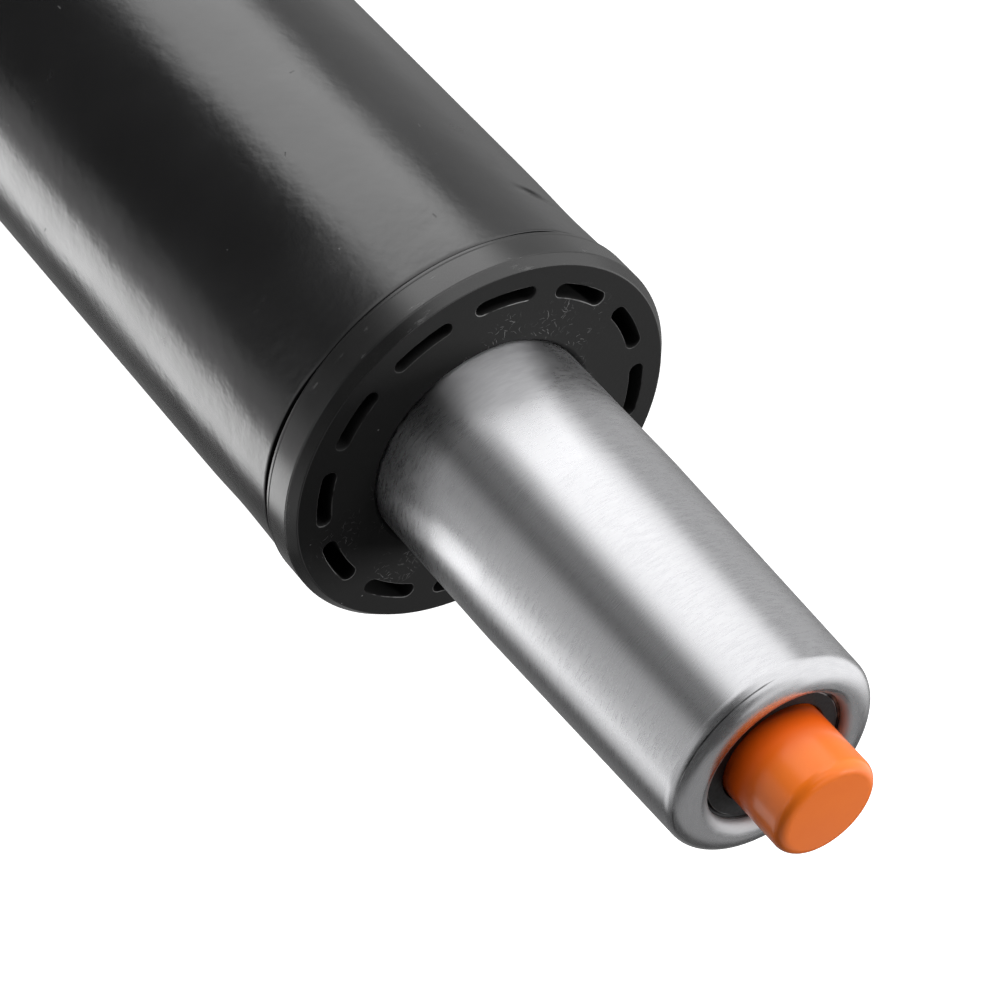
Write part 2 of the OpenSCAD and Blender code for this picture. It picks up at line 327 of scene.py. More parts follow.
def paint_look():
    """Black semi-gloss paint with orange peel, slow waves, nicks, dust, rubbed patches, and lowered gloss
    along one crease as painted shade.
    """
    look = Look("stand_paint")
    place = look.place()
    cloud = look.noise(place, scale=60.0, detail=3.0)
    dust = look.specks(place, scale=330.0, radius=0.04, share=0.12)
    streaked = look.noise(look.polar(around=0.004, along=0.16), scale=1500.0, detail=3.0)
    rubbed = look.fade(streaked, 0.62, 0.8)
    colour = look.mix(cloud, grey(0.004, 1.05), grey(0.007, 1.05))
    look.feed("base_color", look.mix(dust, colour, grey(0.08)))
    rough = look.fade(cloud, 0.3, 0.7, 0.19, 0.25)
    look.feed("roughness", look.math("ADD", rough, look.math("MULTIPLY", rubbed, 0.06)))
    angle, height = look.parts()[1:]
    unrolled = {"X": look.math("MULTIPLY", angle, STAND_R * MM), "Y": height}
    sheet = look.node("ShaderNodeCombineXYZ", unrolled).outputs["Vector"]
    nicks = look.scratches(sheet, scale=130.0, length=0.05, width=0.012, share=0.16)
    # Painted shade: along the crease the gloss drops, so its reflection turns dark.
    middle = (math.radians(CREASE_SHADE_AZIMUTH) * STAND_R * MM, (STAND_TOP - CREASE_SHADE_UNDER) * MM, 0.0)
    offset = look.shift("SUBTRACT", sheet, middle)
    crease_shade = look.stroke(offset, math.radians(CREASE_SHADE_SLOPE), CREASE_SHADE_ENDS, CREASE_SHADE_SIDES)
    look.feed("specular_ior_level", look.math("MULTIPLY_ADD", crease_shade, -CREASE_SHADE_LOSS, PAINT_GLOSS))
    peel = look.math("MULTIPLY", look.noise(place, scale=700.0, detail=2.0), 2.5)
    waves = look.math("MULTIPLY_ADD", look.noise(place, scale=110.0, detail=1.0), 11.0, peel)
    marks = look.math("SUBTRACT", look.math("MULTIPLY", dust, 1.5), look.math("MULTIPLY", nicks, 2.5))
    look.bump(look.math("ADD", waves, marks), depth=0.012)
    return look.material


# Rubbed places of the flange face: azimuth, radius and reach
RUBBED = ((-160, 17.0, 6.5), (-12, 19.5, 6.0), (20, 17.5, 4.5), (-128, 16.0, 3.5))
# Radii between which the rubbing round the bore sets in, and its amount
RUBBED_RING = (15.3, 14.4)
RING_WEAR = 0.8
# Heights between which the scratches of the face set in, and between which a painted shade darkens the slots'
# walls and the plastic below the face
FACE_FADE = (FLANGE_TOP - 0.4, FLANGE_TOP - 0.05)
WALL_SHADE_FADE = (FLANGE_TOP - 0.1, FLANGE_TOP - 0.5)
# Reach of the noise that bends the scratches, in metres
SCRATCH_BEND = (0.0006, 0.0006, 0.0)


def metres(pair):
    """A pair of lengths in metres."""
    return [value * MM for value in pair]


def bush_look():
    """Black moulded plastic, dull, with pale scratches round the bore, slot edges paled partly by rubbing and
    partly by painted highlight, and painted shade on the slots' walls.
    """
    look = Look("bush_plastic", specular_ior_level=0.1)
    place = look.place()
    radius, _, height = look.parts()
    cloud = look.noise(place, scale=120.0, detail=3.0)
    on_face = look.fade(height, *metres(FACE_FADE))
    rubbed = look.fade(radius, *metres(RUBBED_RING), 0.0, RING_WEAR)
    for azimuth, r, reach in RUBBED:
        rubbed = look.math("MAXIMUM", rubbed, look.near(azimuth, r, reach))
    bent = look.node("ShaderNodeTexNoise", {"Vector": place, "Scale": 1500.0}).outputs["Color"]
    crooked = look.shift("MULTIPLY_ADD", bent, SCRATCH_BEND, place)
    fine = look.scratches(crooked, scale=1500.0, length=0.5, width=0.05, share=0.5)
    coarse = look.scratches(crooked, scale=800.0, length=0.45, width=0.04, share=0.45)
    clumps = look.math("MULTIPLY", look.fade(look.noise(place, scale=420.0, detail=2.0), 0.4, 0.62), on_face)
    marks = look.math("MULTIPLY", look.math("MAXIMUM", fine, coarse), look.math("MULTIPLY", rubbed, clumps))
    # Pale slot edges: partly rubbing, partly a painted highlight, set slot by slot.
    worn_and_lit = look.worn_and_lit(look.fade(look.noise(place, scale=330.0, detail=3.0), 0.36, 0.52))
    dust = look.specks(place, scale=420.0, radius=0.06, share=0.16)
    pale = look.math("MAXIMUM", look.math("MAXIMUM", marks, worn_and_lit), dust)
    colour = look.mix(cloud, grey(0.019), grey(0.026))
    # Painted shade: darker below the face, on the slots' walls and in the bore.
    colour = look.mix(look.fade(height, *metres(WALL_SHADE_FADE)), colour, grey(0.015))
    look.feed("base_color", look.mix(pale, colour, grey(0.2)))
    look.feed("roughness", look.fade(cloud, 0.3, 0.7, 0.62, 0.78))
    relief = look.math("ADD", look.noise(place, scale=2600.0, detail=3.0), look.math("MULTIPLY", marks, 1.2))
    look.bump(relief, depth=0.02)
    return look.material


def band_look():
    """The same plastic on the flange's outer band, polished by handling."""
    look = Look("bush_band", specular_ior_level=0.7)
    place = look.place()
    cloud = look.noise(place, scale=140.0, detail=3.0)
    dust = look.specks(place, scale=420.0, radius=0.06, share=0.2)
    streaked = look.noise(look.polar(around=0.006, along=1.0), scale=900.0, detail=4.0, roughness=0.7)
    scuffs = look.fade(streaked, 0.62, 0.74, 0.0, 0.5)
    colour = look.mix(cloud, grey(0.006), grey(0.010))
    look.feed("base_color", look.mix(look.math("MAXIMUM", dust, scuffs), colour, grey(0.1)))
    rough = look.fade(cloud, 0.3, 0.7, 0.2, 0.27)
    look.feed("roughness", look.math("ADD", rough, look.math("MULTIPLY", scuffs, 0.2)))
    look.bump(look.noise(place, scale=900.0, detail=2.0), depth=0.003)
    return look.material


# Steel scuffed by the bush: azimuth, reach and added roughness
SCUFF = (-118, 9.0, 0.2)
# Raw rim of the rolled end: radii between which it sets in, and added roughness
RAW_RIM = (MOUTH_R + 1.1, MOUTH_R + 0.4)
RAW_ROUGH = 0.25


def steel_look(name, anisotropic, smooth, rough, streaks):
    """Steel worked round its axis, so reflections blur along it; scuffed by the bush, raw at the mouth, and
    almost black along the fold line as painted shade.
    """
    look = Look(name, metallic=1.0, anisotropic=anisotropic, anisotropic_rotation=0.25)
    lines = look.noise(look.polar(around=0.0007, along=1.0), scale=12000.0, detail=3.0, roughness=0.6)
    fine = look.noise(look.polar(around=0.003, along=1.0), scale=2600.0, detail=2.0)
    cloud = look.noise(look.place(), scale=90.0, detail=3.0)
    fold_shade = look.node("ShaderNodeAttribute", attribute_name="crease").outputs["Fac"]
    both = look.math("ADD", lines, fine)
    shade = look.math("ADD", look.math("MULTIPLY", cloud, 0.4), look.fade(both, 0.75, 1.25, 0.0, 0.45))
    colour = look.mix(shade, grey(0.49, 1.03), grey(0.6, 1.02))
    # Painted shade: the fold line turns almost black.
    look.feed("base_color", look.mix(fold_shade, colour, grey(0.02)))
    azimuth, reach, added = SCUFF
    scuffed = look.math("MULTIPLY", look.near(azimuth, STEEL_R, reach), added)
    raw_rim = look.fade(look.parts()[0], *metres(RAW_RIM), 0.0, RAW_ROUGH)
    ground = look.fade(both, 0.6, 1.4, smooth, rough)
    look.feed("roughness", look.math("ADD", ground, look.math("MAXIMUM", scuffed, raw_rim)))
    look.feed("tangent", look.node("ShaderNodeTangent", direction_type="RADIAL", axis="Z").outputs["Tangent"])
    look.bump(both, depth=streaks)
    return look.material


# Height over the rolled end through which the button gets a painted shade, darker and redder towards its root
BUTTON_SHADE_H = 5.0


def button_look():
    """Semi-gloss orange plastic with shallow flow marks, and a painted shade that makes it darker and redder
    towards its root.
    """
    look = Look("button_plastic", specular_ior_level=0.5)
    place = look.place()
    cloud = look.noise(place, scale=260.0, detail=3.0)
    marks = look.noise(place, scale=1400.0, detail=3.0, roughness=0.6)
    # Painted shade under the rolled end: darker, redder colour towards the root.
    root = look.fade(look.parts()[2], (steel_high.z + BUTTON_SHADE_H) * MM, steel_high.z * MM)
    colour = look.mix(cloud, (0.85, 0.162, 0.009, 1.0), (0.89, 0.186, 0.012, 1.0))
    look.feed("base_color", look.mix(root, colour, (0.74, 0.1, 0.005, 1.0)))
    look.feed("roughness", look.fade(cloud, 0.3, 0.7, 0.16, 0.21))
    look.bump(look.math("ADD", cloud, look.math("MULTIPLY", marks, 0.3)), depth=0.007)
    return look.material


def cap_look():
    """Black plastic with a fine grain and a painted highlight on the bead's outer edge."""
    look = Look("cap_plastic", specular_ior_level=0.2)
    place = look.place()
    cloud = look.noise(place, scale=150.0, detail=3.0)
    grain = look.noise(place, scale=2600.0, detail=3.0)
    # Painted highlight on the bead's edge, broken up by noise.
    worn_and_lit = look.worn_and_lit(look.fade(look.noise(place, scale=260.0, detail=3.0), 0.4, 0.6))
    dust = look.specks(place, scale=700.0, radius=0.08, share=0.1)
    colour = look.mix(cloud, grey(0.010, 1.05), grey(0.014, 1.05))
    look.feed("base_color", look.mix(look.math("MAXIMUM", worn_and_lit, dust), colour, grey(0.22)))
    look.feed("roughness", look.fade(grain, 0.3, 0.7, 0.34, 0.5))
    look.bump(grain, depth=0.006)
    return look.material


# Shade of the darker clouds and unevenness of the gloss on plain finishes
PLAIN_SHADE = 0.82
PLAIN_SPREAD = 0.2


def plain_look(name, colour, metallic, roughness, grain, turned=False):
    """A metal, plastic or rubber with cloudy colour, uneven gloss and a fine grain, turned or cast."""
    look = Look(name, metallic=metallic)
    place = look.place()
    cloud = look.noise(place, scale=150.0, detail=3.0)
    texture = look.noise(look.polar(around=0.0004, along=1.0) if turned else place, grain, detail=3.0)
    darker = tuple(PLAIN_SHADE * c for c in colour)
    look.feed("base_color", look.mix(cloud, (*darker, 1.0), (*colour, 1.0)))
    spread = roughness * PLAIN_SPREAD
    look.feed("roughness", look.fade(texture, 0.3, 0.7, roughness - spread, roughness + spread))
    look.bump(texture, depth=0.006)
    return look.material


# Plain finishes: colour, metallic, roughness, scale of the grain, and whether the piece is turned
PLAIN_FINISHES = {
    "rod_chrome": ((0.72, 0.72, 0.74), 1.0, 0.12, 5000.0, True),
    "bearing_steel": ((0.6, 0.6, 0.62), 1.0, 0.15, 4000.0),
    "plain_steel": ((0.5, 0.5, 0.5), 1.0, 0.38, 1200.0),
    "spring_steel": ((0.12, 0.12, 0.13), 1.0, 0.4, 2500.0),
    "guide_alloy": ((0.6, 0.6, 0.61), 1.0, 0.3, 6000.0, True),
    "valve_brass": ((0.62, 0.45, 0.2), 1.0, 0.28, 6000.0, True),
    "cage_plastic": ((0.72, 0.69, 0.58), 0.0, 0.5, 2200.0),
    "rubber": ((0.02, 0.02, 0.02), 0.0, 0.75, 3200.0),
}

looks = {
    "stand_paint": paint_look(),
    "bush_plastic": bush_look(),
    "bush_band": band_look(),
    "tube_steel": steel_look("tube_steel", anisotropic=0.86, smooth=0.25, rough=0.31, streaks=0.0008),
    "rolled_steel": steel_look("rolled_steel", anisotropic=0.5, smooth=0.22, rough=0.30, streaks=0.003),
    "button_plastic": button_look(),
    "cap_plastic": cap_look(),
}
for finish, values in PLAIN_FINISHES.items():
    looks[finish] = plain_look(finish, *values)


# Camera, at the photograph's place

CAMERA_FROM_FACE = Vector((0.0, -345.6, 243.5))
LOOK_FROM_FACE = Vector((2.86, 0.0, 7.14))
# Turn about the line of sight, in radians
CAMERA_ROLL = 2.4
PHOTO_SIDE = 1000
FOCAL_PIXELS = 3771
SENSOR = 36.0
CLIP_START = 10.0


def make_camera():
    """Camera over the flange's face, with the photograph's field of view and roll."""
    data = bpy.data.cameras.new("camera")
    data.sensor_width = SENSOR
    data.lens = FOCAL_PIXELS / PHOTO_SIDE * SENSOR
    data.clip_start = CLIP_START * MM
    camera = bpy.data.objects.new("camera", data)
    scene.collection.objects.link(camera)
    forward = (LOOK_FROM_FACE - CAMERA_FROM_FACE).normalized()
    level = forward.cross(Vector((0, 0, 1))).normalized()
    upright = level.cross(forward)
    c, s = math.cos(CAMERA_ROLL), math.sin(CAMERA_ROLL)
    right = level * c + upright * s
    up = upright * c - level * s
    turn = Matrix((right, up, -forward)).transposed().to_4x4()
    place = (CAMERA_FROM_FACE + Vector((0, 0, FLANGE_TOP))) * MM
    camera.matrix_world = Matrix.Translation(place) @ turn
    scene.camera = camera


make_camera()


# Stand tube: tapered foot, straight column and two staking dimples

STAND_WALL = 2.0
TAPER = math.tan(math.radians(1.438))
LOWER_TAPER_H = 75.0
TAPER_BLEND = 40.0
PLATE_TOP = plate_high.z
SEAT_R = plate_high.x
FOOT_R = STAND_R - LOWER_TAPER_H * TAPER
FOOT_EDGE = 0.8
RIM_ROUND = 0.3
FOOT_ROUND = 0.5
STAND_EDGE = 0.3
INNER_EDGE = 0.15
ROW_STEP = 0.4
# Rings this close to the outside take the dents
SKIN = 1.0
# Dents of the stakes: azimuth, depth, half width and half height
STAKES = ((2, 0.28, 4.2, 4.6), (-172, 0.18, 4.5, 4.6))
STAKE_Z = STAND_TOP - 9.0
DENTED_Z = STAKE_Z - 27.0
# Crease at the second stake: its middle, its rise along the arc, its depth, half width and half length
CREASE_AZIMUTH = -160.5
CREASE_UP = 0.6
CREASE_RISE = 0.2
CREASE_DEPTH = 0.3
CREASE_HALF_W = 0.6
CREASE_HALF_L = 2.4
# Sag of the top edge: a little all round, by degrees from the open seam's azimuth, and a bell further on;
# it fades out over a height below the edge
EDGE_SAG = 0.06
SAG_H = 3.0
OPEN_AZIMUTH = -40
OPEN_SEAM = ((-36, -22, -8, 10, 30, 50, 70), (0.05, 0.5, 0.68, 0.75, 0.95, 0.9, 0.05))
FAR_AZIMUTH = -147
FAR_SAG = 0.48
FAR_HALF = 13


def bell(x):
    """One at nothing, falling smoothly to either side."""
    return np.exp(-x * x)


def apart(angles, azimuth):
    """Degrees from an azimuth, wrapped to a half turn either way."""
    return (np.degrees(angles) - azimuth + 180) % 360 - 180


def stand_shape(r, z, angles):
    """Dents the column at its stakes, creases it beside one and lowers its top edge at the seam."""
    rs = np.full(AROUND, r)
    zs = np.full(AROUND, z)
    if z <= DENTED_Z:
        return rs, zs
    arc = math.radians(1) * STAND_R
    up = z - STAKE_Z
    if r > STAND_R - SKIN:
        for azimuth, depth, half_w, half_h in STAKES:
            rs -= depth * bell(apart(angles, azimuth) * arc / half_w) * bell(up / half_h)
        along = -apart(angles, CREASE_AZIMUTH) * arc
        across = up - CREASE_UP - CREASE_RISE * along
        rs -= CREASE_DEPTH * bell(across / CREASE_HALF_W) * bell(along / CREASE_HALF_L)
    near_top = np.clip((z - STAND_TOP + SAG_H) / SAG_H, 0, 1) ** 2
    sag = EDGE_SAG + np.interp(apart(angles, OPEN_AZIMUTH), *OPEN_SEAM)
    sag += FAR_SAG * bell(apart(angles, FAR_AZIMUTH) / FAR_HALF)
    zs -= sag * near_top
    return rs, zs


def make_stand_tube():
    wall_r = STAND_R - STAND_WALL
    corners = [
        (SEAT_R, 0, RIM_ROUND), (FOOT_R - FOOT_EDGE, 0, RIM_ROUND), (FOOT_R, FOOT_EDGE, FOOT_ROUND),
        (STAND_R, LOWER_TAPER_H, TAPER_BLEND), (STAND_R, STAND_TOP, STAND_EDGE),
        (wall_r, STAND_TOP, INNER_EDGE), (wall_r, LOWER_TAPER_H),
        (wall_r - (LOWER_TAPER_H - PLATE_TOP) * TAPER, PLATE_TOP), (SEAT_R, PLATE_TOP),
    ]
    path = with_rows(outline(corners), DENTED_Z, STAND_TOP, ROW_STEP)
    bm = bmesh.new()
    lathe_into(bm, path, shape=stand_shape)
    piece(bm, "stand_column", "stand", "stand_tube", "stand_paint", looks["stand_paint"])


make_stand_tube()


# Guide bush: sleeve and a flange with twelve arc slots

FLANGE_R = bush_high.x
# Width and height of the chamfer
FLANGE_CHAMFER = (0.9, 1.1)
CHAMFER_SET = 0.03
CHAMFER_ROUND = 0.25
BAND_EDGE = 1.05
LINE_W = 0.08
LINE_DEPTH = 0.1
LINE_ROUND = 0.05
UNDERCUT = 0.3
UNDERCUT_ROUND = 0.1
EDGE_H = 0.42
SLIDE_R = 14.05
SLEEVE_GAP = 0.02
SLEEVE_R = STAND_R - STAND_WALL - SLEEVE_GAP
SLEEVE_ROUND = 0.3
BUSH_LEAD = 0.5
LEAD_ROUND = 0.2
# Inner and outer radius of the hollow in the sleeve
CORE_R = (16.4, 18.8)
CORE_TOP = STAND_TOP - 8
CORE_ROUND = 0.6
SLOT_R = 21.0
SLOT_W = 1.9
SLOT_SPAN = 21.6
SLOT_PHASE = 23.67
SLOT_ROW_Z = FLANGE_TOP - 4
SLOT_FLOOR = bush_low.z + 10
# Paleness of the slots' edges, partly rubbing and partly painted highlight, from the slot at the phase on
SLOT_WEAR_AND_HIGHLIGHT = (1.0, 1.0, 0.3, 0.3, 0.25, 0.3, 0.9, 1.0, 0.2, 0.15, 0.7, 1.0)
SLOT_ROUND = 0.1
ROUND_STEPS = 4
FIELD_R = (19.2, 22.8)
# Loops between a slot's edge and its field, as shares of the way out
FIELD_SHARES = (1, 0.6, 0.25, 0)
END_STEPS = 12


def slot_loop(grow):
    """Outline of a slot about the X axis: inner side, one end, outer side, other end."""
    half_w = SLOT_W / 2 + grow
    half = math.radians(SLOT_SPAN / 2) - math.asin(SLOT_W / 2 / SLOT_R)
    turns = [half * (2 * k / SECTOR_STEPS - 1) for k in range(SECTOR_STEPS)]
    inner_r = SLOT_R - half_w
    outer_r = SLOT_R + half_w

    def round_end(azimuth, start):
        """Half circle about a slot's end, from a start angle on."""
        x = SLOT_R * math.cos(azimuth)
        y = SLOT_R * math.sin(azimuth)
        bends = [start - math.pi * k / END_STEPS for k in range(END_STEPS)]
        return [(x + half_w * math.cos(a), y + half_w * math.sin(a)) for a in bends]

    loop = [(inner_r * math.cos(a), inner_r * math.sin(a)) for a in turns]
    loop += round_end(half, half + math.pi)
    loop += [(outer_r * math.cos(-a), outer_r * math.sin(-a)) for a in turns]
    loop += round_end(-half, -half)
    return np.array(loop)


def field_loop():
    """Edge of the field of flange face round a slot, point for point with slot_loop."""
    half = math.pi / SECTORS
    along = [half * (2 * k / SECTOR_STEPS - 1) for k in range(SECTOR_STEPS)]
    across = [FIELD_R[0] + (FIELD_R[1] - FIELD_R[0]) * k / END_STEPS for k in range(END_STEPS)]
    polar = [(FIELD_R[0], a) for a in along] + [(r, half) for r in across]
    polar += [(FIELD_R[1], -a) for a in along] + [(sum(FIELD_R) - r, -half) for r in across]
    return np.array([(r * math.cos(a), r * math.sin(a)) for r, a in polar])


def slot_into(bm, wear_and_highlight, azimuth, worn_and_lit):
    """One slot with a rounded edge, its walls and floor, and the field of face round it."""
    turn = math.radians(azimuth)
    spin = np.array(((math.cos(turn), math.sin(turn)), (-math.sin(turn), math.cos(turn))))
    edge = slot_loop(SLOT_ROUND)
    loops = [(edge + (field_loop() - edge) * share, FLANGE_TOP) for share in FIELD_SHARES]
    for k in range(1, ROUND_STEPS + 1):
        a = math.pi / 2 * k / ROUND_STEPS
        drop = SLOT_ROUND * (1 - math.cos(a))
        loops.append((slot_loop(SLOT_ROUND * (1 - math.sin(a))), FLANGE_TOP - drop))
    loops.append((slot_loop(0), SLOT_ROW_Z))
    loops.append((slot_loop(0), SLOT_FLOOR))
    rings = [[bm.verts.new((x * MM, y * MM, z * MM)) for x, y in flat @ spin] for flat, z in loops]
    first = len(FIELD_SHARES)
    # The rounded edge carries the pale mark, partly rubbing and partly painted highlight.
    for ring in rings[first:first + ROUND_STEPS - 1]:
        for corner in ring:
            corner[wear_and_highlight] = worn_and_lit
    count = len(rings[0])
    for outer, inner in zip(rings, rings[1:]):
        for i in range(count):
            j = (i + 1) % count
            bm.faces.new((inner[i], inner[j], outer[j], outer[i]))
    bm.faces.new(rings[-1][::-1])


def make_guide_bush():
    low = bush_low.z
    shoulder = FLANGE_TOP - FLANGE_CHAMFER[1]
    edge = STAND_TOP + UNDERCUT + EDGE_H
    corners = [
        (FIELD_R[0], FLANGE_TOP), (SLIDE_R + BUSH_LEAD, FLANGE_TOP, LEAD_ROUND),
        (SLIDE_R, FLANGE_TOP - BUSH_LEAD, LEAD_ROUND), (SLIDE_R, low, SLEEVE_ROUND),
        (CORE_R[0], low, SLEEVE_ROUND), (CORE_R[0], CORE_TOP, CORE_ROUND),
        (CORE_R[1], CORE_TOP, CORE_ROUND), (CORE_R[1], low, SLEEVE_ROUND),
        (SLEEVE_R, low, SLEEVE_ROUND), (SLEEVE_R, STAND_TOP), (FLANGE_R - UNDERCUT, STAND_TOP),
        (FLANGE_R, STAND_TOP + UNDERCUT, UNDERCUT_ROUND),
        (FLANGE_R, edge - LINE_W, LINE_ROUND), (FLANGE_R - LINE_DEPTH, edge),
        (FLANGE_R, edge + LINE_W, LINE_ROUND),
        (FLANGE_R, shoulder - 2 * LINE_W, LINE_ROUND), (FLANGE_R - LINE_DEPTH, shoulder - LINE_W),
        (FLANGE_R - CHAMFER_SET, shoulder, LINE_ROUND),
        (FLANGE_R - FLANGE_CHAMFER[0], FLANGE_TOP, CHAMFER_ROUND), (FIELD_R[1], FLANGE_TOP),
    ]
    bm = bmesh.new()
    # Layer for the slots' pale edges, partly rubbing and partly painted highlight.
    wear_and_highlight = bm.verts.layers.float.new("wear_and_highlight")
    lathe_into(bm, outline(corners), closed=False, start=SLOT_PHASE - 180 / SECTORS)
    for i, worn_and_lit in enumerate(SLOT_WEAR_AND_HIGHLIGHT):
        slot_into(bm, wear_and_highlight, SLOT_PHASE + i * 360 / SECTORS, worn_and_lit)
    for face in bm.faces:
        centre = face.calc_center_median()
        face.material_index = int(math.hypot(centre.x, centre.y) > (FLANGE_R - BAND_EDGE) * MM)
    finishes = (looks["bush_plastic"], looks["bush_band"])
    piece(bm, "flange_bush", "stand", "guide_bush", "bush_plastic", *finishes)


make_guide_bush()


# Pressure tube: straight part, seat taper and an end rolled inward

STEEL_WALL = 2.0
STEEL_BORE_R = STEEL_R - STEEL_WALL
CRIMP_R = 8.0
CRIMP_T = 1.6
# Roundings of the lower end's inner and outer edge
CRIMP_ROUND = (0.4, 1.4)
UPPER_BLEND = 60.0
TAPER_Z = FLANGE_TOP + 19.4
RIM_Z = steel_high.z
# Half axes of the roll's curve, across and up
ROLL = (2.87, 2.353)
ROLL_Z = RIM_Z - ROLL[1]
ROLL_OUT_R = STEEL_R - (ROLL_Z - TAPER_Z) * TAPER
ROLL_R = ROLL_OUT_R - ROLL[0]
LIP_T = 1.5
LIP_Z = RIM_Z - LIP_T
MOUTH_X = -0.22
LIP_DROP = 1.25
FOLD_ANGLE = 29.0
FOLD_W = 0.03
FOLD_REACH = 6 * FOLD_W
FOLD_DEPTH = 0.06
# Stretches of the fold line: azimuth, half span, fade and strength; and the share of its depth that wavers
FOLDS = ((-81, 36, 10, 1.0), (-20, 12, 5, 0.8))
FOLD_WAVER = 0.15
# Angles of the roll's rows, which lie close together at the fold
FOLD_ROWS = (-4, -3, -2.2, -1.5, -0.8, 0, 0.8, 1.5, 2.2, 3, 4)
ROLL_ANGLES = (*range(0, 25, 4), *(FOLD_ANGLE + row for row in FOLD_ROWS), *range(34, 96, 4))
LIP_ANGLES = range(10, 91, 10)


def roll_point(angle):
    """Radius and height on the outer curve of the rolled end."""
    a = math.radians(angle)
    return ROLL_R + ROLL[0] * math.cos(a), ROLL_Z + ROLL[1] * math.sin(a)


def lip_point(angle):
    """Radius and height on the curve from the crest into the mouth."""
    a = math.radians(angle)
    return ROLL_R - (ROLL_R - MOUTH_R) * math.sin(a), RIM_Z - LIP_DROP * (1 - math.cos(a))


def fold_depth(angles):
    """Depth of the fold line round the rolled end: one long stretch and a short one past a gap."""
    strength = np.zeros(len(angles))
    for azimuth, half, fade, level in FOLDS:
        strength += level * np.clip((half - np.abs(apart(angles, azimuth))) / fade, 0, 1)
    waves = 1 - FOLD_WAVER + FOLD_WAVER * np.sin(11 * angles) * np.sin(17 * angles + 1)
    return FOLD_DEPTH * strength * waves


def moved(r, angles, x):
    """Radii about the main axis of a ring whose centre lies at x."""
    side = x * np.cos(angles)
    return side + np.sqrt(r * r - x * x + side * side)


def steel_shape(r, z, angles):
    """Presses the fold line into the rolled end and moves its mouth to one side."""
    rs = np.full(AROUND, r)
    zs = np.full(AROUND, z)
    if r < ROLL_R and z >= LIP_Z:
        rs = moved(r, angles, MOUTH_X * min(1, 2 * (ROLL_R - r) / (ROLL_R - MOUTH_R)))
    fold_r, fold_z = roll_point(FOLD_ANGLE)
    off = math.hypot(r - fold_r, z - fold_z)
    if off < FOLD_REACH and r > ROLL_R:
        press = fold_depth(angles) * math.exp(-(off / FOLD_W) ** 2)
        slope = math.radians(FOLD_ANGLE)
        rs -= press * math.cos(slope)
        zs -= press * math.sin(slope)
    return rs, zs


def make_pressure_tube():
    low = steel_low.z
    wall = [(CRIMP_R, low, CRIMP_ROUND[0]), (STEEL_R, low, CRIMP_ROUND[1]), (STEEL_R, TAPER_Z, UPPER_BLEND)]
    roll = [roll_point(a) for a in ROLL_ANGLES]
    lip = [lip_point(a) for a in LIP_ANGLES]
    bore = [(MOUTH_R, LIP_Z), (STEEL_BORE_R, LIP_Z), (STEEL_BORE_R, low + CRIMP_T), (CRIMP_R, low + CRIMP_T)]
    path = outline([*wall, roll[0]])[:-1] + roll + lip + bore
    bm = bmesh.new()
    lathe_into(bm, path, shape=steel_shape)
    # Marks the fold line for the painted shade along it.
    crease = bm.verts.layers.float.new("crease")
    fold_r, fold_z = roll_point(FOLD_ANGLE)
    for corner in bm.verts:
        x, y, z = corner.co / MM
        off = math.hypot(math.hypot(x, y) - fold_r, z - fold_z)
        depth = fold_depth(np.array([math.atan2(y, x)]))[0]
        if off < depth + FOLD_W:
            corner[crease] = min(1.0, depth / FOLD_DEPTH)
    for face in bm.faces:
        face.material_index = int(face.calc_center_median().z > ROLL_Z * MM)
    finishes = (looks["tube_steel"], looks["rolled_steel"])
    piece(bm, "taper_tube", "cylinder", "pressure_tube", "tube_steel", *finishes)


make_pressure_tube()


# Valve cap: black disc under the rolled end, with a narrow groove round it

BEAD_R = 8.42
GROOVE_R = 8.7
GROOVE_DEPTH = 0.35
GROOVE_ROUND = 0.03
BEAD_ROUND = 0.16
HOLE_GAP = 0.15
HOLE_ROUND = 0.12
CAP_ROUND = 0.2
CAP_EDGE = 0.1
# The disc's rim lies under the lip and its middle rises past it
RIM_UNDER = 0.02
DISC_RISE = 0.03
# Points further inside the bead than this belong to the hole
BEAD_W = 0.5
# Height and half width of the bead's edge that carries a painted highlight
BEAD_HIGHLIGHT = (0.1, 0.14)


def make_valve_cap():
    under_lip = LIP_Z - RIM_UNDER
    top = LIP_Z + DISC_RISE
    hole_r = BUTTON_R + HOLE_GAP
    corners = [
        (hole_r, cap_low.z, CAP_ROUND), (cap_high.x, cap_low.z, CAP_ROUND), (cap_high.x, under_lip, CAP_EDGE),
        (GROOVE_R, under_lip, GROOVE_ROUND), (GROOVE_R, top - GROOVE_DEPTH), (BEAD_R, top - GROOVE_DEPTH),
        (BEAD_R, top, BEAD_ROUND), (hole_r, top, HOLE_ROUND),
    ]

    def hole_shape(r, z, angles):
        """Moves the hole to the button's axis and the groove to the mouth's."""
        x = 0.0
        if r < BEAD_R - BEAD_W:
            x = BUTTON_X
        elif r <= GROOVE_R:
            x = MOUTH_X
        return moved(r, angles, x), np.full(AROUND, z)

    bm = bmesh.new()
    lathe_into(bm, outline(corners), shape=hole_shape)
    # Marks the bead's top edge for its painted highlight.
    wear_and_highlight = bm.verts.layers.float.new("wear_and_highlight")
    highlight_h, highlight_w = BEAD_HIGHLIGHT
    for corner in bm.verts:
        x, y, z = corner.co / MM
        corner[wear_and_highlight] = float(z > top - highlight_h and abs(math.hypot(x - MOUTH_X, y) - BEAD_R) < highlight_w)
    piece(bm, "valve_disc", "cylinder", "valve_cap", "cap_plastic", looks["cap_plastic"])


make_valve_cap()


# Release button

BUTTON_ROUND = 1.4
BUTTON_BORE_R = 3.6
BUTTON_CROWN = 0.06
# Roundings of the foot's inner and outer edge
BUTTON_FOOT = (0.3, 0.5)
BUTTON_ARC = 10
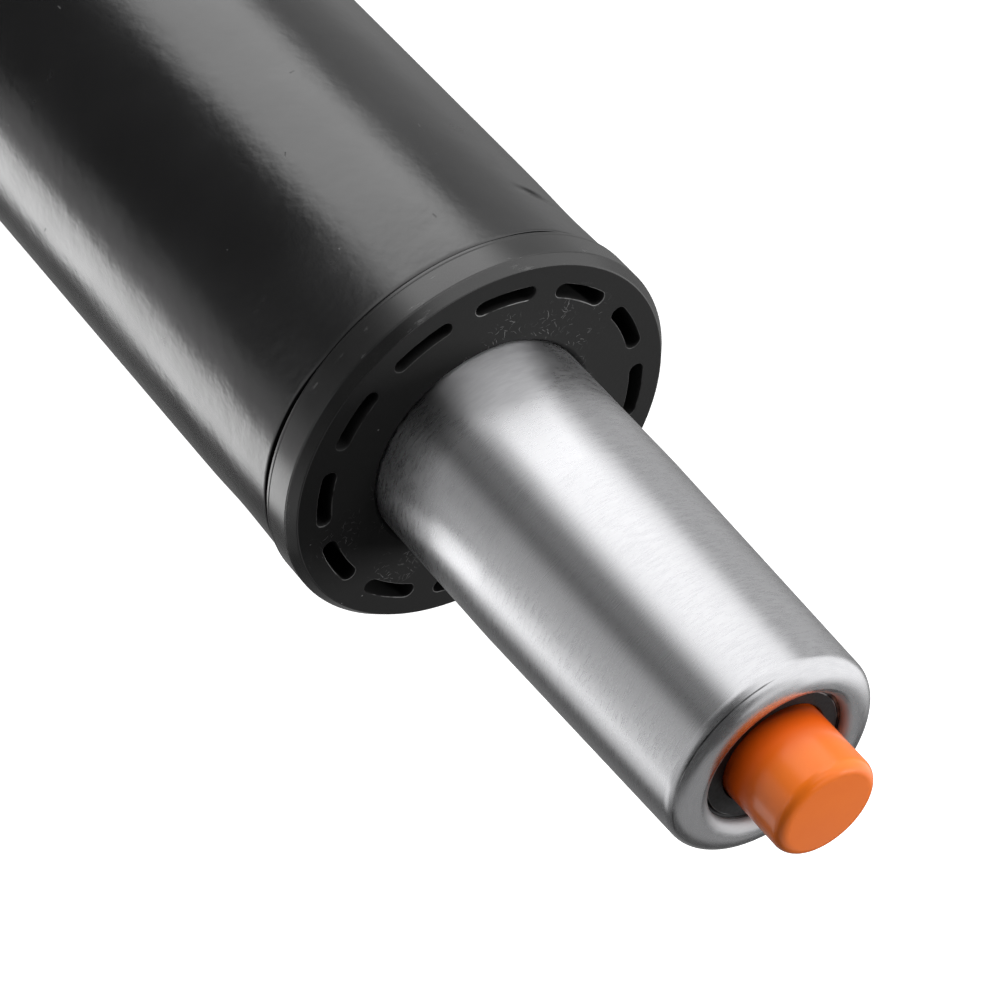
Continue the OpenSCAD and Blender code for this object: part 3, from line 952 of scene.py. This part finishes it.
# Rows of the side: distances from the foot and from the top, and their step
BUTTON_ROWS = (1.0, 1.5, 1.0)


def make_button():
    low, top = button_low.z, button_high.z
    corners = [
        (0, pin_high.z), (BUTTON_BORE_R, pin_high.z), (BUTTON_BORE_R, low, BUTTON_FOOT[0]),
        (BUTTON_R, low, BUTTON_FOOT[1]), (BUTTON_R, top - BUTTON_CROWN, BUTTON_ROUND), (0, top),
    ]
    over_foot, under_top, step = BUTTON_ROWS
    path = with_rows(outline(corners, BUTTON_ARC), low + over_foot, top - under_top, step)
    bm = bmesh.new()
    lathe_into(bm, path, closed=False, centre=(BUTTON_X, 0))
    piece(bm, "release_button", "release", "button_cap", "button_plastic", looks["button_plastic"])


make_button()


# Finish of the CAD nodes that keep their own shape

for row in frame["record"]["subparts"]:
    kept = frame["nodes"][row["node"]]
    kept.data.materials.clear()
    kept.data.materials.append(looks[row["material_slot"]])


# Floor, light and background, with lengths in metres

FLOOR_HALF = 4.0
FLOOR_COLOUR = 0.85
FLOOR_LIFT = 0.4
FLOOR_FADE = (0.2, 0.6)
WORLD_LIGHT = 0.05


def seen_rays(nodes, links):
    """One for camera, glossy and transmission rays, which see the white background."""
    path = nodes.new("ShaderNodeLightPath")
    total = None
    for name in ("Is Camera Ray", "Is Glossy Ray", "Is Transmission Ray"):
        if total is None:
            total = path.outputs[name]
            continue
        add = nodes.new("ShaderNodeMath")
        add.operation = "MAXIMUM"
        links.new(total, add.inputs[0])
        links.new(path.outputs[name], add.inputs[1])
        total = add.outputs[0]
    return total


def make_world():
    """White background that gives the scene only a little light."""
    world = bpy.data.worlds.new("studio")
    world.use_nodes = True
    scene.world = world
    nodes, links = world.node_tree.nodes, world.node_tree.links
    seen = seen_rays(nodes, links)
    level = nodes.new("ShaderNodeMapRange")
    level.inputs["To Min"].default_value = WORLD_LIGHT
    level.inputs["To Max"].default_value = 1.0
    links.new(seen, level.inputs["Value"])
    links.new(level.outputs[0], nodes["Background"].inputs["Strength"])
    nodes["Background"].inputs["Color"].default_value = grey(1.0)


def make_floor():
    """Pale floor that keeps the object's shadow, shows white further off and is clear from below."""
    mesh = bpy.data.meshes.new("floor")
    h = FLOOR_HALF
    mesh.from_pydata([(-h, -h, 0), (h, -h, 0), (h, h, 0), (-h, h, 0)], [], [(0, 1, 2, 3)])
    floor = bpy.data.objects.new("floor", mesh)
    scene.collection.objects.link(floor)
    look = Look("floor_paper", base_color=grey(FLOOR_COLOUR), roughness=0.9, specular_ior_level=0.1,
                emission_color=grey(1.0))
    nodes, links = look.nodes, look.links
    lift = look.fade(look.parts()[0], *FLOOR_FADE, FLOOR_LIFT, 1.0)
    look.feed("emission_strength", look.math("MULTIPLY", seen_rays(nodes, links), lift))
    clear = nodes.new("ShaderNodeBsdfTransparent")
    sides = nodes.new("ShaderNodeMixShader")
    links.new(nodes.new("ShaderNodeNewGeometry").outputs["Backfacing"], sides.inputs[0])
    links.new(look.shader.outputs[0], sides.inputs[1])
    links.new(clear.outputs[0], sides.inputs[2])
    links.new(sides.outputs[0], nodes["Material Output"].inputs["Surface"])
    mesh.materials.append(look.material)


# Light tent, a drum round the object that only reflections see; its rings have a radius and a height
TENT_R = 0.24
TENT_TOP = 1.0
LID_TOP = 1.1
TENT_TIP = 0.0001
TENT_RINGS = ((TENT_TIP, 0.0002), (0.15, 0.001), (TENT_R, 0.0015), (TENT_R, TENT_TOP), (TENT_TIP, LID_TOP))
TENT_STEPS = 96
# Brightness of the tent's floor, and the radii between which it gives way to the panels
TENT_FLOOR = 0.3
TENT_SWEEP = (0.08, 0.12)
TENT_WALL = 0.1
# Panels: azimuth, half width and soft edge in degrees, lowest and highest edge, brightness over the wall
PANEL_SOFT = 0.005
BELOW = -0.01
LOW_TOP = 0.066
MID_TOP = 0.25
TENT_PANELS = {
    "low_right_box": (-135, 27, 9, BELOW, LOW_TOP, 2.8),
    "low_left_strip": (10, 15, 5, BELOW, LOW_TOP, 3.9),
    "low_left_edge": (-18, 12, 10, BELOW, LOW_TOP, 0.6),
    "back_fill": (163, 37, 25, BELOW, MID_TOP, 0.5),
    "far_fill": (80, 35, 20, BELOW, MID_TOP, 0.15),
    "right_box": (-132, 36, 12, LOW_TOP, MID_TOP, 1.42),
    "front_fill": (-86, 16, 10, LOW_TOP, MID_TOP, 0.25),
    "left_fill": (-24, 36, 12, LOW_TOP, 0.33, 0.57),
    "left_strip": (11, 13, 5, LOW_TOP, MID_TOP, 0.75),
    "back_box": (180, 68, 16, MID_TOP, 0.62, 1.4),
    "far_high_fill": (60, 45, 20, 0.36, TENT_TOP, 0.28),
    "high_back": (170, 45, 40, 0.62, LID_TOP, 1.0),
}


def panel_light(look, angle, height):
    """Brightness of the tent's wall with its panels."""
    light = TENT_WALL
    for azimuth, half, soft, low, high, level in TENT_PANELS.values():
        off = look.math("WRAP", look.math("SUBTRACT", angle, math.radians(azimuth)), math.pi, -math.pi)
        edges = (math.radians(half + soft), math.radians(half - soft))
        across = look.fade(look.math("ABSOLUTE", off), *edges, 0.0, level)
        up = look.fade(height, low - PANEL_SOFT, low + PANEL_SOFT)
        down = look.fade(height, high + PANEL_SOFT, high - PANEL_SOFT)
        light = look.math("MULTIPLY_ADD", across, look.math("MULTIPLY", up, down), light)
    return light


def make_tent():
    """Drum that only reflections see; its panels give the bright and dark bands on the tubes."""
    mesh = bpy.data.meshes.new("light_tent")
    turns = [2 * math.pi * i / TENT_STEPS for i in range(TENT_STEPS)]
    points = [(r * math.cos(a), r * math.sin(a), z) for r, z in TENT_RINGS for a in turns]
    faces = []
    for k in range(len(TENT_RINGS) - 1):
        low = k * TENT_STEPS
        high = low + TENT_STEPS
        for i in range(TENT_STEPS):
            j = (i + 1) % TENT_STEPS
            faces.append((low + i, low + j, high + j, high + i))
    mesh.from_pydata(points, [], faces)
    tent = bpy.data.objects.new("light_tent", mesh)
    scene.collection.objects.link(tent)
    look = Look("tent_panels")
    radius, angle, height = look.parts()
    light = panel_light(look, angle, height)
    on_lid = look.math("GREATER_THAN", height, TENT_TOP)
    off_floor = look.math("MAXIMUM", look.fade(radius, *TENT_SWEEP), on_lid)
    strength = look.math("MULTIPLY_ADD", look.math("SUBTRACT", light, TENT_FLOOR), off_floor, TENT_FLOOR)
    glow = look.node("ShaderNodeEmission", {"Color": grey(1.0), "Strength": strength})
    look.links.new(glow.outputs[0], look.nodes["Material Output"].inputs["Surface"])
    look.nodes.remove(look.shader)
    mesh.materials.append(look.material)
    for ray in ("camera", "diffuse", "transmission", "volume_scatter", "shadow"):
        setattr(tent, "visible_" + ray, False)


def softbox(name, azimuth, elevation, distance, side, level):
    """Square area lamp that faces the flange; level 1 shows a white surface that faces it as white."""
    data = bpy.data.lights.new(name, "AREA")
    data.size = side
    data.energy = level * (math.pi * distance) ** 2
    lamp = bpy.data.objects.new(name, data)
    scene.collection.objects.link(lamp)
    a, e = math.radians(azimuth), math.radians(elevation)
    towards = Vector((math.cos(a) * math.cos(e), math.sin(a) * math.cos(e), math.sin(e)))
    lamp.location = Vector((0, 0, FLANGE_TOP * MM)) + towards * distance
    lamp.rotation_euler = towards.to_track_quat("Z", "Y").to_euler()
    lamp.visible_camera = False
    lamp.visible_glossy = False


make_world()
make_floor()
make_tent()
softbox("key", azimuth=135, elevation=50, distance=1.0, side=0.32, level=0.88)
softbox("side", azimuth=-145, elevation=5, distance=0.8, side=0.5, level=1.06)
softbox("fill", azimuth=-50, elevation=6, distance=0.8, side=0.4, level=0.2)
